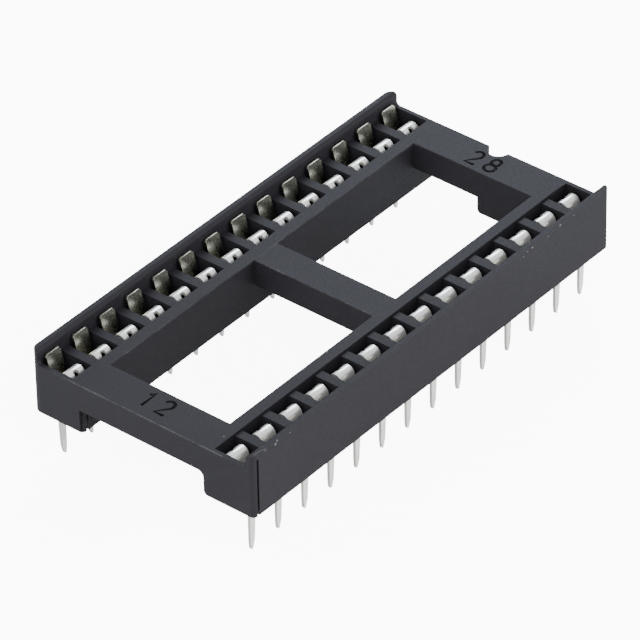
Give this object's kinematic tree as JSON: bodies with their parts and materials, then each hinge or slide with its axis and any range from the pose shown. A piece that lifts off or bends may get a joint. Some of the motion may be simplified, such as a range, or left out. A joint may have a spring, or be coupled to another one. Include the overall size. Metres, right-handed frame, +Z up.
{
  "type": "dual in-line ic socket",
  "caption": "Black moulded dual in-line socket with an open frame body, side walls, rolled twin-leaf contacts in two rows and straight solder tails.",
  "frame": {"origin": "on the centre lines of the body in plan, at the level of the tail tips", "axes": "+X along the two rows towards the notched end, +Y towards the row of contact one, +Z up out of the board"},
  "size_m": [0.0356, 0.0178, 0.0082],
  "materials": {
    "housing": "fine matte moulded thermoplastic, charcoal black",
    "contact": "bright tin plate over stamped copper alloy"
  },
  "bodies": {
    "root": {"housing": "housing", "contact_01": "contact", "contact_02": "contact", "contact_03": "contact", "contact_04": "contact", "contact_05": "contact", "contact_06": "contact", "contact_07": "contact", "contact_08": "contact", "contact_09": "contact", "contact_10": "contact", "contact_11": "contact", "contact_12": "contact", "contact_13": "contact", "contact_14": "contact", "contact_15": "contact", "contact_16": "contact", "contact_17": "contact", "contact_18": "contact", "contact_19": "contact", "contact_20": "contact", "contact_21": "contact", "contact_22": "contact", "contact_23": "contact", "contact_24": "contact", "contact_25": "contact", "contact_26": "contact", "contact_27": "contact", "contact_28": "contact"}
  },
  "joints": []
}
